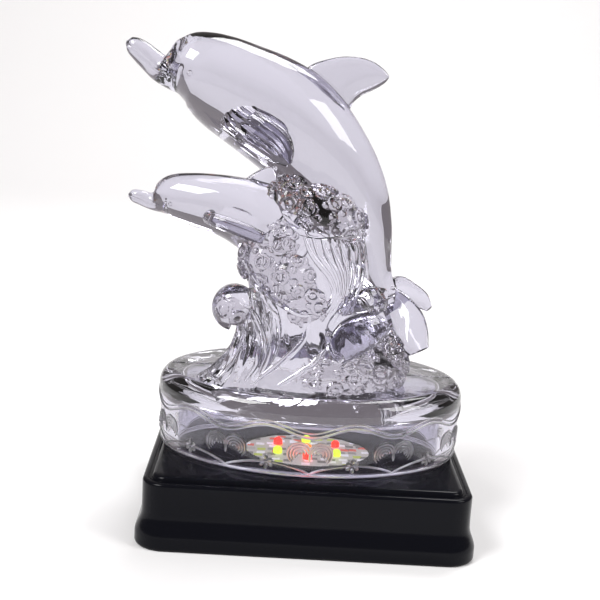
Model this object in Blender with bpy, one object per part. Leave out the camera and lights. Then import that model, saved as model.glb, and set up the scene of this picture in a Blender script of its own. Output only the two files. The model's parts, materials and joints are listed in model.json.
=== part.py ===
"""Lighted dolphin statue.

One clear casting carries two leaping dolphins, the breaking waves and the oval
plinth under them. The plinth is hollow underneath. It rests on a glossy black base
whose top holds a round board of small coloured lamps. Metres, +Z up, the front
faces -Y, and the origin is the centre of the base's underside.
"""
import math

import bmesh
import bpy
from mathutils import Vector

# Base: a moulded shell, closed underneath by a plain cover
BASE_WIDTH = 0.125
BASE_DEPTH = 0.109
BASE_HEIGHT = 0.0264
BASE_CORNER_RADIUS = 0.011
BASE_WALL = 0.0024
COVER_THICKNESS = 0.002
FOOT_HEIGHT = 0.0085
FOOT_FLARE = 0.0023
RIM_STEP = 0.0016
RIM_WIDTH = 0.0022
EDGE_ROUND = 0.0012

# Lamp board and the well that holds it
BOARD_DIAMETER = 0.048
BOARD_THICKNESS = 0.0016
WELL_DEPTH = 0.0028
WELL_LEDGE = 0.003
LAMP_DIAMETER = 0.0034
LAMP_HEIGHT = 0.0030
LAMP_RING_DIAMETER = 0.026
LAMP_PAIRS = 3
GAP = 0.0003

# Oval plinth, cast in one with the figure
PLINTH_LENGTH = 0.119
PLINTH_DEPTH = 0.086
PLINTH_HEIGHT = 0.0288
PLINTH_SHOULDER = 0.0055
PLINTH_SHOULDER_DROP = 0.0062
PLINTH_DRAFT = 0.0012
PLINTH_WALL = 0.009
HOLLOW_HEIGHT = 0.0188
HOLLOW_ROUND = 0.002

# Figure: its tables are in units of a 128th of its height above the plinth
FIGURE_HEIGHT = 0.128
UNIT = FIGURE_HEIGHT / 128
PLINTH_BOTTOM = BASE_HEIGHT + GAP
PLINTH_TOP = PLINTH_BOTTOM + PLINTH_HEIGHT

# Facets
OVAL_SIDES = 44
BODY_SIDES = 16
FIN_SIDES = 8
SIDES_PER_FLUTE = 4
CURL_SIDES = 30
FOAM_FINENESS = 3
LAMP_SIDES = 8
BOARD_SIDES = 36
CORNER_STEPS = 4

# Each station of a body: centre x, y, z, then its reach up, down and sideways
UPPER_DOLPHIN = [
    (-77.2, 3.0, 122.4, 0.7, 0.7, 0.7),
    (-75.6, 3.0, 121.9, 3.0, 2.8, 2.4),
    (-71.9, 3.0, 119.5, 4.3, 4.0, 3.6),
    (-67.6, 3.0, 116.2, 4.8, 4.6, 4.4),
    (-64.0, 3.0, 113.8, 5.0, 5.2, 5.3),
    (-60.4, 3.0, 113.2, 8.2, 7.0, 8.2),
    (-56.2, 3.0, 113.4, 12.2, 9.6, 11.4),
    (-51.1, 3.0, 113.0, 15.4, 13.0, 14.2),
    (-43.3, 3.4, 110.6, 17.4, 16.6, 16.2),
    (-34.0, 4.0, 106.7, 18.8, 18.8, 17.6),
    (-24.1, 4.6, 102.1, 20.2, 20.4, 18.4),
    (-15.1, 5.0, 97.2, 20.6, 21.4, 18.6),
    (-7.1, 5.4, 91.4, 19.4, 21.4, 18.4),
    (0.5, 5.8, 84.4, 17.4, 21.0, 17.6),
    (7.4, 6.0, 76.0, 15.6, 19.2, 16.0),
    (13.3, 6.0, 66.5, 13.4, 16.9, 14.0),
    (18.1, 6.0, 56.6, 10.2, 13.1, 11.2),
    (21.4, 6.0, 47.0, 7.4, 8.9, 8.2),
    (24.2, 5.4, 38.8, 5.2, 5.6, 5.8),
    (28.4, 4.6, 31.6, 3.6, 3.6, 4.8),
    (32.4, 4.0, 26.4, 2.2, 2.2, 4.2),
]
LOWER_DOLPHIN = [
    (-73.7, -4.0, 65.9, 0.6, 0.6, 0.6),
    (-72.3, -4.0, 65.9, 2.3, 2.1, 2.0),
    (-69.0, -4.0, 65.2, 2.9, 2.7, 2.8),
    (-65.7, -4.0, 64.3, 3.1, 3.1, 3.4),
    (-63.3, -4.0, 64.3, 3.9, 4.0, 4.2),
    (-60.4, -4.0, 65.2, 7.0, 5.9, 6.2),
    (-56.5, -4.2, 66.0, 8.9, 7.7, 8.0),
    (-50.3, -5.0, 66.0, 9.9, 9.4, 9.6),
    (-43.2, -6.0, 65.4, 10.8, 10.7, 10.8),
    (-35.8, -7.0, 64.2, 11.8, 11.6, 11.6),
    (-28.2, -8.0, 62.2, 13.1, 13.1, 12.2),
    (-19.9, -9.0, 58.8, 14.4, 14.4, 12.8),
    (-11.0, -10.0, 53.4, 14.0, 14.0, 12.8),
    (-2.0, -12.0, 47.0, 11.4, 11.4, 11.0),
    (8.0, -14.0, 40.4, 8.2, 8.2, 8.4),
    (17.0, -17.0, 35.0, 5.4, 5.4, 6.0),
    (23.6, -20.0, 31.0, 3.6, 3.6, 4.4),
]

# Each station of a fin: leading edge, trailing edge, then half the thickness
UPPER_DORSAL = [
    ((-13.0, 5.0, 108.0), (7.0, 5.0, 93.0), 2.8),
    ((-8.6, 5.0, 117.4), (8.6, 5.0, 103.6), 2.2),
    ((0.2, 5.0, 121.2), (11.8, 5.0, 107.6), 1.7),
    ((8.0, 5.0, 122.3), (15.6, 5.0, 109.8), 1.4),
    ((15.2, 5.0, 121.2), (19.0, 5.0, 111.8), 1.2),
    ((20.2, 5.0, 118.2), (21.2, 5.0, 113.6), 1.0),
    ((22.2, 5.0, 116.0), (22.2, 5.0, 115.2), 0.5),
]
LOWER_DORSAL = [
    ((-34.0, -8.0, 70.0), (-16.0, -8.0, 64.0), 2.2),
    ((-29.6, -8.0, 75.2), (-16.4, -8.0, 70.6), 1.8),
    ((-25.0, -8.0, 78.6), (-17.2, -8.0, 74.0), 1.3),
    ((-21.4, -8.0, 80.2), (-18.2, -8.0, 77.2), 0.8),
    ((-19.6, -8.0, 79.8), (-19.2, -8.0, 79.2), 0.4),
]
UPPER_PECTORAL = [
    ((-40.0, -6.0, 96.0), (-30.0, -6.0, 104.0), 3.0),
    ((-38.6, -13.5, 93.2), (-27.6, -14.0, 101.6), 2.8),
    ((-33.6, -19.0, 90.4), (-20.8, -19.6, 98.4), 2.4),
    ((-26.6, -22.0, 86.6), (-14.4, -22.6, 94.0), 2.0),
    ((-20.0, -24.0, 83.6), (-12.2, -24.4, 88.6), 1.5),
    ((-14.6, -25.2, 82.4), (-12.6, -25.2, 84.0), 0.7),
]
LOWER_PECTORAL = [
    ((-41.0, -10.0, 58.0), (-37.0, -10.0, 65.0), 2.0),
    ((-44.0, -19.0, 58.6), (-39.0, -20.0, 64.8), 2.1),
    ((-37.6, -24.0, 56.8), (-33.0, -24.4, 63.4), 1.9),
    ((-29.4, -26.6, 55.0), (-25.6, -26.8, 60.4), 1.6),
    ((-20.6, -27.6, 52.6), (-18.4, -27.6, 56.0), 1.2),
]
UPPER_FLUKE_FAR = [
    ((27.0, 2.0, 38.0), (26.0, 2.0, 28.0), 2.2),
    ((33.4, 8.6, 38.6), (30.6, 8.6, 27.4), 2.2),
    ((40.0, 14.0, 34.6), (35.2, 13.6, 26.2), 1.9),
    ((45.4, 18.4, 30.0), (40.4, 17.6, 24.4), 1.5),
    ((47.8, 21.0, 24.6), (45.4, 20.6, 22.4), 0.9),
]
UPPER_FLUKE_NEAR = [
    ((27.0, 4.0, 37.0), (25.0, 4.0, 27.0), 2.2),
    ((34.4, -2.4, 33.6), (27.4, -3.4, 24.4), 2.2),
    ((40.4, -8.0, 28.4), (29.6, -9.4, 19.6), 1.9),
    ((42.8, -12.6, 22.4), (32.4, -13.8, 15.0), 1.5),
    ((43.2, -16.0, 16.4), (36.0, -16.6, 12.8), 1.0),
]
LOWER_FLUKE_HIGH = [
    ((24.6, -17.0, 38.4), (24.6, -19.0, 29.0), 2.4),
    ((19.0, -21.0, 39.6), (20.2, -22.6, 30.2), 2.2),
    ((12.6, -23.6, 36.4), (14.4, -25.0, 29.6), 1.8),
    ((7.6, -25.0, 31.0), (9.2, -25.6, 28.6), 1.0),
]
LOWER_FLUKE_LOW = [
    ((24.0, -18.0, 31.6), (28.2, -18.6, 22.6), 2.6),
    ((16.6, -23.6, 30.4), (23.6, -24.6, 18.8), 2.6),
    ((9.0, -27.0, 27.0), (16.2, -28.8, 14.8), 2.2),
    ((4.6, -29.4, 20.6), (9.4, -31.0, 11.8), 1.7),
    ((5.0, -31.4, 14.6), (6.8, -31.8, 12.2), 0.8),
]

# Each station of a wave: height, then its reach left, right, front and back
MAIN_WAVE = [
    (-6.0, -36.0, 33.0, -32.0, 20.0),
    (1.0, -35.0, 33.0, -31.0, 19.0),
    (8.0, -31.0, 31.0, -29.0, 18.0),
    (17.0, -28.0, 28.0, -27.0, 17.0),
    (26.0, -26.0, 23.0, -25.0, 16.0),
    (35.0, -26.0, 19.4, -24.0, 15.0),
    (44.0, -27.0, 18.0, -23.0, 14.0),
    (52.0, -25.0, 16.6, -22.0, 12.0),
    (60.0, -20.0, 14.0, -21.0, 8.0),
    (67.0, -15.0, 8.0, -18.0, 2.0),
    (70.0, -12.0, 2.0, -15.0, -4.0),
]
SMALL_WAVE = [
    (-6.0, -44.0, -14.0, -30.0, -4.0),
    (0.6, -43.0, -14.0, -29.0, -5.0),
    (4.0, -38.6, -14.0, -28.0, -6.0),
    (10.0, -33.4, -14.0, -26.4, -7.0),
    (18.0, -29.6, -14.0, -25.0, -8.0),
    (26.0, -28.6, -14.0, -24.0, -9.0),
    (32.0, -29.0, -16.0, -23.0, -10.0),
    (34.6, -28.0, -18.0, -21.0, -12.0),
]
CURL_CENTRE = (-30.8, -16.0, 28.2)
CURL_RADIUS = 9.3
CURL_HALF_WIDTH = 8.5
CURL_LIP = 0.24
CURL_STATIONS = 7

# Each mass of foam: centre, half sizes, then its tilt about Y in degrees
FOAM = [
    ((-11.6, -12.0, 69.0), (9.6, 10.0, 8.2), 20.0),
    ((-1.4, -12.4, 65.6), (10.4, 11.4, 9.4), 24.0),
    ((7.6, -10.6, 60.8), (9.4, 11.4, 8.6), 30.0),
    ((-21.2, -12.0, 44.4), (9.6, 11.0, 9.0), 14.0),
    ((-10.6, -16.6, 40.6), (10.4, 9.6, 10.0), 30.0),
    ((-3.6, -18.6, 31.4), (7.4, 7.6, 8.4), 40.0),
    ((6.0, -22.6, 4.6), (16.4, 10.4, 10.2), -8.0),
    ((24.0, -12.0, 8.4), (11.8, 13.4, 13.4), -16.0),
]
BUBBLE_SPREAD = 0.3
BUBBLE_HEIGHT = 1.5

# Flutes of the water, as a share of the wave's reach
MAIN_FLUTES = 15
MAIN_FLUTE_DEPTH = 0.045
SMALL_FLUTES = 10
SMALL_FLUTE_DEPTH = 0.05
FLUTE_TWIST = 0.012


def clear_scene():
    """Remove whatever the file holds, so a second run starts clean."""
    for obj in list(bpy.data.objects):
        bpy.data.objects.remove(obj, do_unlink=True)


def make_material(name, color, roughness, transmission=0.0, ior=1.5, emission=0.0):
    """A Principled material with the part's colour and finish."""
    material = bpy.data.materials.new(name)
    material.use_nodes = True
    shader = material.node_tree.nodes["Principled BSDF"]
    shader.inputs["Base Color"].default_value = (*color, 1.0)
    shader.inputs["Roughness"].default_value = roughness
    shader.inputs["Transmission Weight"].default_value = transmission
    shader.inputs["IOR"].default_value = ior
    shader.inputs["Emission Color"].default_value = (*color, 1.0)
    shader.inputs["Emission Strength"].default_value = emission
    return material


def add_object(name, mesh_builder, material=None, guide=False):
    """Turn a bmesh into a smooth-shaded object; a guide is only an operand."""
    bmesh.ops.recalc_face_normals(mesh_builder, faces=mesh_builder.faces)
    mesh = bpy.data.meshes.new(name)
    mesh_builder.to_mesh(mesh)
    mesh_builder.free()
    mesh.shade_smooth()
    mesh.set_sharp_from_angle(angle=math.radians(40))
    obj = bpy.data.objects.new(name, mesh)
    bpy.context.scene.collection.objects.link(obj)
    if material:
        mesh.materials.append(material)
    if guide:
        obj.hide_render = True
        obj.display_type = "WIRE"
    return obj


def add_boolean(obj, operand, operation):
    """Cut or join another closed solid."""
    modifier = obj.modifiers.new(operand.name, "BOOLEAN")
    modifier.operation = operation
    modifier.solver = "EXACT"
    modifier.object = operand


def join_all(obj, pieces):
    """Join closed solids to an object in one union."""
    operands = bpy.data.collections.new("cast_with_the_plinth")
    bpy.context.scene.collection.children.link(operands)
    for piece in pieces:
        bpy.context.scene.collection.objects.unlink(piece)
        operands.objects.link(piece)
    modifier = obj.modifiers.new("cast_in_one", "BOOLEAN")
    modifier.operation = "UNION"
    modifier.solver = "EXACT"
    modifier.operand_type = "COLLECTION"
    modifier.collection = operands


def loft(rings):
    """A closed solid through rings of equally many points, capped at both ends."""
    builder = bmesh.new()
    loops = [[builder.verts.new(point) for point in ring] for ring in rings]
    for lower, upper in zip(loops, loops[1:]):
        for i in range(len(lower)):
            j = (i + 1) % len(lower)
            builder.faces.new((lower[i], lower[j], upper[j], upper[i]))
    builder.faces.new(loops[0])
    builder.faces.new(loops[-1])
    return builder


def smooth_rows(rows, count, key=3):
    """Rows of numbers on a smooth curve through the given ones, evenly spaced.

    The first key numbers of a row say how far apart two rows are.
    """
    distances = [0.0]
    for a, b in zip(rows, rows[1:]):
        distances.append(distances[-1] + math.dist(a[:key], b[:key]))
    slopes = []
    for i in range(len(rows)):
        before = max(i - 1, 0)
        after = min(i + 1, len(rows) - 1)
        span = distances[after] - distances[before]
        slopes.append([(b - a) / span for a, b in zip(rows[before], rows[after])])
    result = []
    place = 0
    for step in range(count + 1):
        distance = distances[-1] * step / count
        while place < len(rows) - 2 and distance > distances[place + 1]:
            place += 1
        span = distances[place + 1] - distances[place]
        t = (distance - distances[place]) / span
        start = 2 * t ** 3 - 3 * t ** 2 + 1
        start_slope = (t ** 3 - 2 * t ** 2 + t) * span
        end_slope = (t ** 3 - t ** 2) * span
        values = zip(rows[place], rows[place + 1], slopes[place], slopes[place + 1])
        result.append([a * start + b * (1 - start) + m * start_slope + n * end_slope
                       for a, b, m, n in values])
    return result


def figure_point(x, y, z):
    """A point of the figure's own space, which starts on the plinth's top."""
    return Vector((x * UNIT, y * UNIT, PLINTH_TOP + z * UNIT))


def directions(points):
    """The direction of travel at each point of a path."""
    last = len(points) - 1
    return [(points[min(i + 1, last)] - points[max(i - 1, 0)]).normalized() for i in range(last + 1)]


def dolphin_body(name, stations, rings):
    """A body lofted along its spine, its section taller above than below."""
    rows = smooth_rows(stations, rings)
    centres = [Vector(row[:3]) for row in rows]
    loops = []
    for centre, along, row in zip(centres, directions(centres), rows):
        side = (Vector((0, 1, 0)) - along * along.y).normalized()
        up = along.cross(side)
        loop = []
        for i in range(BODY_SIDES):
            angle = 2 * math.pi * i / BODY_SIDES
            reach = row[3] if math.sin(angle) > 0 else row[4]
            offset = up * reach * math.sin(angle) + side * row[5] * math.cos(angle)
            loop.append(figure_point(*(centre + offset)))
        loops.append(loop)
    return add_object(name, loft(loops), guide=True)


def fin(name, stations, rings, mirror_y=None):
    """A thin blade from its root to its tip; a mirrored one is on the far side."""
    rows = smooth_rows([(*lead, *trail, thick) for lead, trail, thick in stations], rings, key=6)
    middles = [(Vector(row[:3]) + Vector(row[3:6])) / 2 for row in rows]
    loops = []
    for middle, along, row in zip(middles, directions(middles), rows):
        chord = Vector(row[:3]) - middle
        normal = chord.cross(along).normalized()
        loop = []
        for i in range(FIN_SIDES):
            angle = 2 * math.pi * i / FIN_SIDES
            point = middle + chord * math.cos(angle) + normal * row[6] * math.sin(angle)
            if mirror_y is not None:
                point.y = 2 * mirror_y - point.y
            loop.append(figure_point(*point))
        loops.append(loop)
    return add_object(name, loft(loops), guide=True)


def wave(name, stations, flutes, flute_depth, rings):
    """A rising body of water with flutes that lean round it as they climb."""
    loops = []
    for height, left, right, front, back in smooth_rows(stations, rings, key=1):
        loop = []
        for i in range(flutes * SIDES_PER_FLUTE):
            angle = 2 * math.pi * i / (flutes * SIDES_PER_FLUTE) - FLUTE_TWIST * height
            ripple = 1 + flute_depth * math.cos(2 * math.pi * i / SIDES_PER_FLUTE)
            x = (left + right) / 2 + (right - left) / 2 * math.cos(angle) * ripple
            y = (front + back) / 2 + (back - front) / 2 * math.sin(angle) * ripple
            loop.append(figure_point(x, y, height))
        loops.append(loop)
    return add_object(name, loft(loops), guide=True)


def wave_curl(name):
    """The small wave's rolled head: a drum whose section winds in to a lip."""
    centre = Vector(CURL_CENTRE)
    loops = []
    for step in range(CURL_STATIONS):
        share = 2 * step / (CURL_STATIONS - 1) - 1
        bulge = math.sqrt(1 - 0.6 * share ** 4)
        loop = []
        for i in range(CURL_SIDES):
            turn = i / CURL_SIDES
            reach = CURL_RADIUS * bulge * (1 - CURL_LIP * turn)
            angle = 2 * math.pi * (0.72 - turn)
            offset = Vector((reach * math.cos(angle), share * CURL_HALF_WIDTH, reach * math.sin(angle)))
            loop.append(figure_point(*(centre + offset)))
        loops.append(loop)
    return add_object(name, loft(loops), guide=True)


def sphere(fineness):
    """A ball of unit radius, from an icosahedron cut finer and finer."""
    builder = bmesh.new()
    bmesh.ops.create_icosphere(builder, subdivisions=fineness, radius=1.0)
    return builder


def foam_mass(name, centre, half_sizes, tilt):
    """A mound with a round bubble at each corner of a coarser ball."""
    coarse = sphere(2)
    seats = [vert.co.copy() for vert in coarse.verts]
    coarse.free()
    lean = math.radians(tilt)
    builder = sphere(FOAM_FINENESS)
    for vert in builder.verts:
        nearest = min((vert.co - seat).length for seat in seats)
        swell = math.sqrt(max(0.0, 1 - (nearest / BUBBLE_SPREAD) ** 2))
        place = vert.co * Vector(half_sizes) + vert.co.normalized() * (swell - 0.5) * BUBBLE_HEIGHT
        x = place.x * math.cos(lean) + place.z * math.sin(lean)
        z = place.z * math.cos(lean) - place.x * math.sin(lean)
        vert.co = figure_point(centre[0] + x, centre[1] + place.y, centre[2] + z)
    return add_object(name, builder, guide=True)


def oval_ring(length, depth, height):
    """Points round an oval."""
    points = []
    for i in range(OVAL_SIDES):
        angle = 2 * math.pi * i / OVAL_SIDES
        points.append(Vector((length / 2 * math.cos(angle), depth / 2 * math.sin(angle), height)))
    return points


def plinth(name, material):
    """The oval plinth: walls with draft, a rounded shoulder and a flat top."""
    rings = [oval_ring(PLINTH_LENGTH - 2 * PLINTH_DRAFT, PLINTH_DEPTH - 2 * PLINTH_DRAFT, PLINTH_BOTTOM)]
    shoulder_steps = 5
    for step in range(shoulder_steps + 1):
        angle = math.pi / 2 * step / shoulder_steps
        inset = 2 * PLINTH_SHOULDER * (1 - math.cos(angle))
        height = PLINTH_TOP - PLINTH_SHOULDER_DROP * (1 - math.sin(angle))
        rings.append(oval_ring(PLINTH_LENGTH - inset, PLINTH_DEPTH - inset, height))
    return add_object(name, loft(rings), material)


def plinth_hollow():
    """The space under the plinth that the lamps shine into."""
    length = PLINTH_LENGTH - 2 * PLINTH_WALL
    depth = PLINTH_DEPTH - 2 * PLINTH_WALL
    ceiling = PLINTH_BOTTOM + HOLLOW_HEIGHT
    rings = [
        oval_ring(length, depth, PLINTH_BOTTOM - PLINTH_WALL),
        oval_ring(length, depth, ceiling - HOLLOW_ROUND),
        oval_ring(length - 2 * HOLLOW_ROUND, depth - 2 * HOLLOW_ROUND, ceiling),
    ]
    return add_object("plinth_hollow", loft(rings), guide=True)


def clear_casting():
    """Dolphins, waves, foam and plinth, joined into one solid with a hollow below."""
    clear = make_material("clear_cast_acrylic", (0.93, 0.92, 0.95), 0.03, transmission=1.0, ior=1.49)
    casting = plinth("crystal_dolphins", clear)
    upper_middle = UPPER_DOLPHIN[9][1]
    lower_middle = LOWER_DOLPHIN[9][1]
    pieces = [
        wave("main_wave", MAIN_WAVE, MAIN_FLUTES, MAIN_FLUTE_DEPTH, 11),
        wave("small_wave", SMALL_WAVE, SMALL_FLUTES, SMALL_FLUTE_DEPTH, 7),
        wave_curl("wave_curl"),
        dolphin_body("upper_body", UPPER_DOLPHIN, 31),
        dolphin_body("lower_body", LOWER_DOLPHIN, 26),
        fin("upper_dorsal", UPPER_DORSAL, 9),
        fin("lower_dorsal", LOWER_DORSAL, 6),
        fin("upper_pectoral_near", UPPER_PECTORAL, 9),
        fin("upper_pectoral_far", UPPER_PECTORAL, 9, mirror_y=upper_middle),
        fin("lower_pectoral_near", LOWER_PECTORAL, 7),
        fin("lower_pectoral_far", LOWER_PECTORAL, 7, mirror_y=lower_middle),
        fin("upper_fluke_far", UPPER_FLUKE_FAR, 7),
        fin("upper_fluke_near", UPPER_FLUKE_NEAR, 7),
        fin("lower_fluke_high", LOWER_FLUKE_HIGH, 6),
        fin("lower_fluke_low", LOWER_FLUKE_LOW, 7),
    ]
    for number, mass in enumerate(FOAM, start=1):
        pieces.append(foam_mass(f"foam_{number}", *mass))
    join_all(casting, pieces)
    add_boolean(casting, plinth_hollow(), "DIFFERENCE")


def rounded_rectangle(inset, height):
    """A ring of the base's plan, moved in from the foot's outline."""
    radius = max(BASE_CORNER_RADIUS - inset, EDGE_ROUND)
    half_x = BASE_WIDTH / 2 - inset - radius
    half_y = BASE_DEPTH / 2 - inset - radius
    points = []
    for corner, (sign_x, sign_y) in enumerate([(1, 1), (-1, 1), (-1, -1), (1, -1)]):
        for step in range(CORNER_STEPS + 1):
            angle = math.pi / 2 * (corner + step / CORNER_STEPS)
            points.append(Vector((sign_x * half_x + radius * math.cos(angle),
                                  sign_y * half_y + radius * math.sin(angle), height)))
    return points


def cylinder(name, diameter, bottom, top, sides, material=None, guide=False, centre=(0.0, 0.0)):
    """An upright cylinder between two heights."""
    builder = bmesh.new()
    bmesh.ops.create_cone(builder, cap_ends=True, segments=sides, radius1=diameter / 2,
                          radius2=diameter / 2, depth=top - bottom)
    bmesh.ops.translate(builder, verts=builder.verts, vec=(*centre, (top + bottom) / 2))
    return add_object(name, builder, material, guide)


def black_base():
    """The base shell and its cover, with a round well on top for the lamp board."""
    black = make_material("black_abs", (0.012, 0.012, 0.016), 0.16)
    rim_height = BASE_HEIGHT - RIM_STEP
    rim_inset = FOOT_FLARE + EDGE_ROUND
    profile = [
        (EDGE_ROUND, 0.0),
        (EDGE_ROUND * 0.3, EDGE_ROUND * 0.3),
        (0.0, EDGE_ROUND),
        (0.0, FOOT_HEIGHT * 0.55),
        (FOOT_FLARE * 0.15, FOOT_HEIGHT * 0.75),
        (FOOT_FLARE * 0.5, FOOT_HEIGHT),
        (FOOT_FLARE * 0.85, FOOT_HEIGHT * 1.25),
        (FOOT_FLARE, FOOT_HEIGHT * 1.5),
        (FOOT_FLARE, rim_height - EDGE_ROUND),
        (FOOT_FLARE + EDGE_ROUND * 0.3, rim_height - EDGE_ROUND * 0.3),
        (rim_inset, rim_height),
        (rim_inset + RIM_WIDTH, rim_height),
        (rim_inset + RIM_WIDTH + RIM_STEP * 0.4, BASE_HEIGHT - RIM_STEP * 0.3),
        (rim_inset + RIM_WIDTH + RIM_STEP, BASE_HEIGHT),
    ]
    base = add_object("black_base", loft([rounded_rectangle(*row) for row in profile]), black)

    ceiling = BASE_HEIGHT - RIM_STEP - BASE_WALL
    inside = FOOT_FLARE + BASE_WALL
    hollow = [rounded_rectangle(inside, -BASE_WALL), rounded_rectangle(inside, ceiling)]
    cavity = add_object("cavity", loft(hollow), guide=True)
    lid = [rounded_rectangle(inside + GAP, 0.0), rounded_rectangle(inside + GAP, COVER_THICKNESS)]
    add_object("base_cover", loft(lid), black)

    bore = BOARD_DIAMETER + 2 * GAP
    floor = BASE_HEIGHT - WELL_DEPTH - BASE_WALL
    boss = cylinder("boss", bore + 2 * BASE_WALL, floor, BASE_HEIGHT - RIM_STEP, BOARD_SIDES, guide=True)
    well = cylinder("well", bore, BASE_HEIGHT - WELL_DEPTH, BASE_HEIGHT + BASE_WALL, BOARD_SIDES, guide=True)
    port = cylinder("port", bore - 2 * WELL_LEDGE, floor - BASE_WALL, BASE_HEIGHT, BOARD_SIDES, guide=True)
    add_boolean(base, cavity, "DIFFERENCE")
    add_boolean(base, boss, "UNION")
    add_boolean(base, well, "DIFFERENCE")
    add_boolean(base, port, "DIFFERENCE")


def lamp(name, x, y, seat, material):
    """A short lamp with a domed head, standing on the board."""
    radius = LAMP_DIAMETER / 2
    straight = LAMP_HEIGHT - radius
    profile = [(radius, 0.0), (radius, straight)]
    dome_steps = 2
    for step in range(1, dome_steps + 1):
        angle = math.pi / 2 * step / (dome_steps + 1)
        profile.append((radius * math.cos(angle), straight + radius * math.sin(angle)))
    rings = []
    for reach, height in profile:
        turns = [2 * math.pi * i / LAMP_SIDES for i in range(LAMP_SIDES)]
        rings.append([Vector((x + reach * math.cos(t), y + reach * math.sin(t), seat + height)) for t in turns])
    return add_object(name, loft(rings), material)


def lamp_board():
    """The round board with a ring of lamps in turn red and green, and one amber."""
    pale = make_material("pale_board", (0.62, 0.6, 0.54), 0.55)
    red = make_material("red_lamp", (0.9, 0.04, 0.02), 0.2, emission=1.0)
    green = make_material("green_lamp", (0.45, 0.75, 0.05), 0.2, emission=1.0)
    amber = make_material("amber_lamp", (0.95, 0.4, 0.03), 0.2, emission=1.0)
    bottom = BASE_HEIGHT - WELL_DEPTH + GAP
    top = bottom + BOARD_THICKNESS
    cylinder("lamp_board", BOARD_DIAMETER, bottom, top, BOARD_SIDES, pale)
    seat = top + GAP
    for i in range(2 * LAMP_PAIRS):
        angle = math.pi * (i + 0.5) / LAMP_PAIRS
        x = LAMP_RING_DIAMETER / 2 * math.cos(angle)
        y = LAMP_RING_DIAMETER / 2 * math.sin(angle)
        color_name, material = ("red", red) if i % 2 == 0 else ("green", green)
        lamp(f"{color_name}_lamp_{i // 2 + 1}", x, y, seat, material)
    lamp("amber_lamp", 0.0, 0.0, seat, amber)


def main():
    clear_scene()
    black_base()
    lamp_board()
    clear_casting()


main()
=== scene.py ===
import json
import math
import random

import bmesh
import bpy
from mathutils import Matrix, Vector
from mathutils.bvhtree import BVHTree
from mathutils.kdtree import KDTree

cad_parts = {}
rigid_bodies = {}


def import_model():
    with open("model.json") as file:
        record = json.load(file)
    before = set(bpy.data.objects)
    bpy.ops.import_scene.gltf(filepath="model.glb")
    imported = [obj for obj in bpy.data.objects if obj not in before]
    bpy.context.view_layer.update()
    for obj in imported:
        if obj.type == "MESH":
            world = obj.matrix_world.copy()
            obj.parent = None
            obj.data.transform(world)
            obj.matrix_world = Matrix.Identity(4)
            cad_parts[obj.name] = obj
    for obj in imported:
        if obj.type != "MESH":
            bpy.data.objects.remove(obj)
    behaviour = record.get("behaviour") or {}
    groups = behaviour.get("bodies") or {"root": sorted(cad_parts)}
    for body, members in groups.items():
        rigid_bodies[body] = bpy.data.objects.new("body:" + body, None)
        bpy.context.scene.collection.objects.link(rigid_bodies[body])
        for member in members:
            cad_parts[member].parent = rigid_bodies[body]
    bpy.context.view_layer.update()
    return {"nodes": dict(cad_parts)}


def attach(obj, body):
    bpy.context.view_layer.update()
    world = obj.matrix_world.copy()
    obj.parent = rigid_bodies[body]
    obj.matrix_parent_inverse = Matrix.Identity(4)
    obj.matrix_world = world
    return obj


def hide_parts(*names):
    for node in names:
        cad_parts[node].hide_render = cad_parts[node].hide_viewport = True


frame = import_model()

MM = 0.001
TAU = 2 * math.pi
# Edges sharper than this keep their crease
CASTING_CREASE, SHELL_CREASE = math.radians(38), math.radians(35)

# Plinth and base, in mm
BASE_WIDTH, BASE_DEPTH, BASE_HEIGHT = 125.0, 109.0, 26.4
CORNER_RADIUS = 11.0
EDGE_ROUND = 1.2
FOOT_HEIGHT, FOOT_FLARE = 8.5, 2.3
RIM_STEP, RIM_WIDTH = 1.6, 2.2
RIM_GROOVE = 0.35
SHELL_WALL = 2.4
WELL_DIAMETER, WELL_DEPTH = 48.6, 2.8
COVER_RECESS = 2.3
PLINTH_BOTTOM = 26.7
PLINTH_HEIGHT = 28.8
PLINTH_TOP = PLINTH_BOTTOM + PLINTH_HEIGHT
PLINTH_LENGTH, PLINTH_DEPTH = 119.0, 86.0
PLINTH_DRAFT = 1.2
SHOULDER, SHOULDER_DROP = 5.5, 6.2
PLINTH_WALL = 9.0
HOLLOW_HEIGHT, HOLLOW_ROUND = 18.8, 2.0

# Stations of each body: centre x, y, z, then its reach up, down and sideways, in mm
UPPER_DOLPHIN = [
    (-77.2, 3.0, 122.4, 0.7, 0.7, 0.7),
    (-75.6, 3.0, 121.9, 3.0, 2.8, 2.4),
    (-71.9, 3.0, 119.5, 4.3, 4.0, 3.6),
    (-67.6, 3.0, 116.2, 4.8, 4.6, 4.4),
    (-64.0, 3.0, 113.8, 5.3, 5.4, 5.8),
    (-60.4, 3.0, 113.2, 8.3, 7.2, 8.4),
    (-56.2, 3.0, 113.4, 12.2, 9.6, 11.4),
    (-51.1, 3.0, 113.0, 15.4, 13.0, 14.2),
    (-43.3, 3.4, 110.6, 17.4, 16.6, 16.2),
    (-34.0, 4.0, 106.7, 18.8, 18.8, 17.6),
    (-24.1, 4.6, 102.1, 20.2, 20.4, 18.4),
    (-15.1, 5.0, 97.2, 20.6, 21.4, 18.6),
    (-7.1, 5.4, 91.4, 19.4, 21.4, 18.4),
    (0.5, 5.8, 84.4, 17.4, 21.0, 17.6),
    (7.4, 6.0, 76.0, 15.6, 19.2, 16.0),
    (13.3, 6.0, 66.5, 13.4, 16.9, 14.0),
    (18.1, 6.0, 56.6, 10.2, 13.1, 11.2),
    (21.4, 6.0, 47.0, 7.4, 8.9, 8.2),
    (24.2, 5.4, 38.8, 5.2, 5.6, 5.8),
    (28.4, 4.6, 31.6, 3.6, 3.6, 4.8),
    (32.4, 4.0, 26.4, 2.2, 2.2, 4.2),
]
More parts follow.
